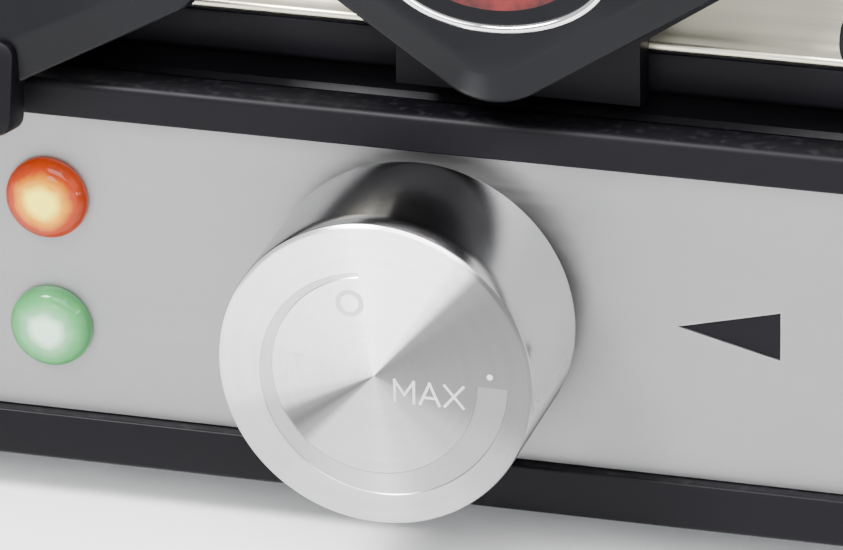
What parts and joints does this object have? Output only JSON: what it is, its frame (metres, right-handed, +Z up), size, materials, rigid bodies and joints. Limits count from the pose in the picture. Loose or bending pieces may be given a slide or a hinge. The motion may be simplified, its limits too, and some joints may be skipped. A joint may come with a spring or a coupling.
{
  "type": "waffle iron",
  "caption": "Table-top waffle iron: a black base with a brushed control fascia, a turning thermostat knob, pilot lamps and a hinged steel lid with a shield handle.",
  "frame": {"origin": "on the table, in the middle of the footprint, taken over the knob's face and the hinge brackets", "axes": "+X to the right as the user faces the control front, +Y to the rear, +Z up"},
  "size_m": [0.25, 0.259, 0.1117],
  "materials": {
    "black_moulding": "fine-grained black phenolic moulding",
    "slate_plastic": "satin blue-grey black plastic with a fine grain",
    "brushed_fascia": "stainless sheet brushed along its length",
    "champagne_steel": "warm brushed stainless sheet",
    "turned_aluminium": "lathe-turned face with fine concentric lines",
    "amber_lens": "clear orange polycarbonate, lit",
    "green_lens": "clear green polycarbonate, lit",
    "garnet_inlay": "deep red polished stone-look plastic, blank",
    "chrome_ring": "polished",
    "cast_plate": "dark non-stick coating on cast aluminium",
    "heater_sheath": "heat-dulled steel sheath",
    "bright_tray": "bright rolled sheet",
    "galvanised_sheet": "zinc-coated sheet",
    "bright_steel": "turned steel",
    "spring_steel": "spring steel",
    "screw_steel": "zinc-plated screws",
    "brass": "turned brass",
    "bimetal": "bimetal and bronze strip",
    "ceramic": "unglazed steatite",
    "cream_plastic": "cream thermoset",
    "foot_rubber": "black rubber",
    "red_wire": "silicone-covered wire",
    "green_wire": "silicone-covered earth wire"
  },
  "bodies": {
    "base": {"base_tub": "black_moulding", "base_rim": "black_moulding", "bottom_plate": "galvanised_sheet", "bottom_screws": "screw_steel", "feet": "foot_rubber", "foot_screws": "screw_steel", "fascia": "brushed_fascia", "pointer_insert": "black_moulding", "amber_lens": "amber_lens", "green_lens": "green_lens", "lamp_bodies": "cream_plastic", "lamp_clips": "spring_steel", "thermostat_bush": "brass", "thermostat_nut": "bright_steel", "thermostat_body": "ceramic", "thermostat_leaves": "bimetal", "thermostat_plunger": "ceramic", "thermostat_terminals": "spring_steel", "lower_plate": "cast_plate", "lower_element": "heater_sheath", "lower_reflector": "bright_tray", "reflector_posts": "bright_steel", "lower_brackets": "galvanised_sheet", "terminal_block": "cream_plastic", "thermal_fuse": "cream_plastic", "base_wires": "red_wire", "earth_wire": "green_wire", "cord_gland": "foot_rubber", "cord_clamp": "cream_plastic", "hinge_brackets": "black_moulding", "hinge_pins": "bright_steel"},
    "lid": {"lid_ears": "black_moulding", "lid_frame": "black_moulding", "lid_cover": "champagne_steel", "upper_plate": "cast_plate", "upper_element": "heater_sheath", "upper_reflector": "bright_tray", "lid_standoffs": "bright_steel", "upper_brackets": "galvanised_sheet", "lid_wires": "red_wire", "handle_mount": "black_moulding", "handle_shield": "slate_plastic", "handle_screws": "screw_steel", "inlay_ring": "chrome_ring", "inlay": "garnet_inlay", "latch_mounts": "black_moulding", "latch_pins": "bright_steel"},
    "knob": {"knob_cap": "turned_aluminium", "knob_core": "black_moulding", "knob_clip": "spring_steel", "spindle": "bright_steel"},
    "latch_left": {"latch_left": "slate_plastic"},
    "latch_right": {"latch_right": "slate_plastic"}
  },
  "joints": [
    {"name": "lid_hinge", "type": "hinge", "parent": "base", "child": "lid", "pos_m": [0, 0.12355, 0.0694], "axis": [-1, 0, 0], "range_deg": [0, 100]},
    {"name": "knob_turn", "type": "hinge", "parent": "base", "child": "knob", "pos_m": [-0.0145, -0.10245, 0.039], "axis": [0, -1, 0], "range_deg": [0, 262]},
    {"name": "latch_left_turn", "type": "hinge", "parent": "lid", "child": "latch_left", "pos_m": [-0.0795, -0.09645, 0.087], "axis": [-1, 0, 0], "range_deg": [0, 70]},
    {"name": "latch_right_turn", "type": "hinge", "parent": "lid", "child": "latch_right", "pos_m": [0.0795, -0.09645, 0.087], "axis": [-1, 0, 0], "range_deg": [0, 70]}
  ]
}
